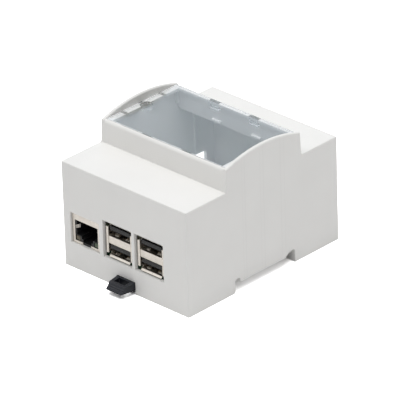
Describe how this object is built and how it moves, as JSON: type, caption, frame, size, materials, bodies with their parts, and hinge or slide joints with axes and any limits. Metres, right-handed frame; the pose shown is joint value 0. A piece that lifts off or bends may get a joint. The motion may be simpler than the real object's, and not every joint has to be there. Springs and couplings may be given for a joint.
{
  "type": "din rail enclosure",
  "caption": "DIN rail housing with a clear window in its raised nose, holding a small computer board with its network and USB sockets at the front.",
  "frame": {"origin": "on the rail seat, in the middle of the housing", "axes": "+Z away from the rail towards the window, -Y towards the sockets and the clip's tab, X along the rail"},
  "size_m": [0.071, 0.0976, 0.062],
  "materials": {
    "housing_plastic": "light grey moulded plastic with a fine even grain",
    "clear_plastic": "clear, faintly blue moulded plastic",
    "clip_plastic": "black moulded plastic, slightly glossy",
    "spring_steel": "bright spring wire",
    "board_laminate": "green solder mask over glass laminate",
    "plated_steel": "zinc-plated steel",
    "tinned_shield": "tin-plated sheet, satin",
    "black_plastic": "black moulded plastic",
    "gold_contact": "gold-plated contact",
    "amber_lens": "amber lens, unlit",
    "green_lens": "green lens, unlit",
    "pale_plastic": "off-white moulded plastic",
    "chip_resin": "black moulding resin",
    "ceramic_parts": "tan ceramic with tinned ends"
  },
  "bodies": {
    "housing": {"upper_shell": "housing_plastic", "base_tray": "housing_plastic", "window_panel": "clear_plastic", "clip_spring": "spring_steel", "circuit_board": "board_laminate", "board_screws": "plated_steel", "ethernet_shield": "tinned_shield", "ethernet_insert": "black_plastic", "ethernet_contacts": "gold_contact", "ethernet_led_left": "amber_lens", "ethernet_led_right": "green_lens", "usb_shell_left": "tinned_shield", "usb_insert_left": "black_plastic", "usb_contacts_left": "gold_contact", "usb_shell_right": "tinned_shield", "usb_insert_right": "black_plastic", "usb_contacts_right": "gold_contact", "hdmi_shell": "tinned_shield", "hdmi_insert": "black_plastic", "power_socket_shell": "tinned_shield", "power_socket_insert": "black_plastic", "audio_socket": "black_plastic", "pin_header": "black_plastic", "header_pins": "gold_contact", "camera_connector": "pale_plastic", "camera_latch": "black_plastic", "display_connector": "pale_plastic", "display_latch": "black_plastic", "processor": "chip_resin", "hub_chip": "chip_resin", "power_chip": "chip_resin", "crystal": "tinned_shield", "small_parts": "ceramic_parts", "card_socket": "tinned_shield", "memory_card": "chip_resin"},
    "clip": {"rail_clip": "clip_plastic"}
  },
  "joints": [
    {"name": "clip_slide", "type": "slide", "parent": "housing", "child": "clip", "axis": [0, -1, 0], "range_m": [0, 0.004], "stiffness_N_per_m": 1500, "springref_m": -0.002, "deforming": ["clip_spring"]}
  ]
}
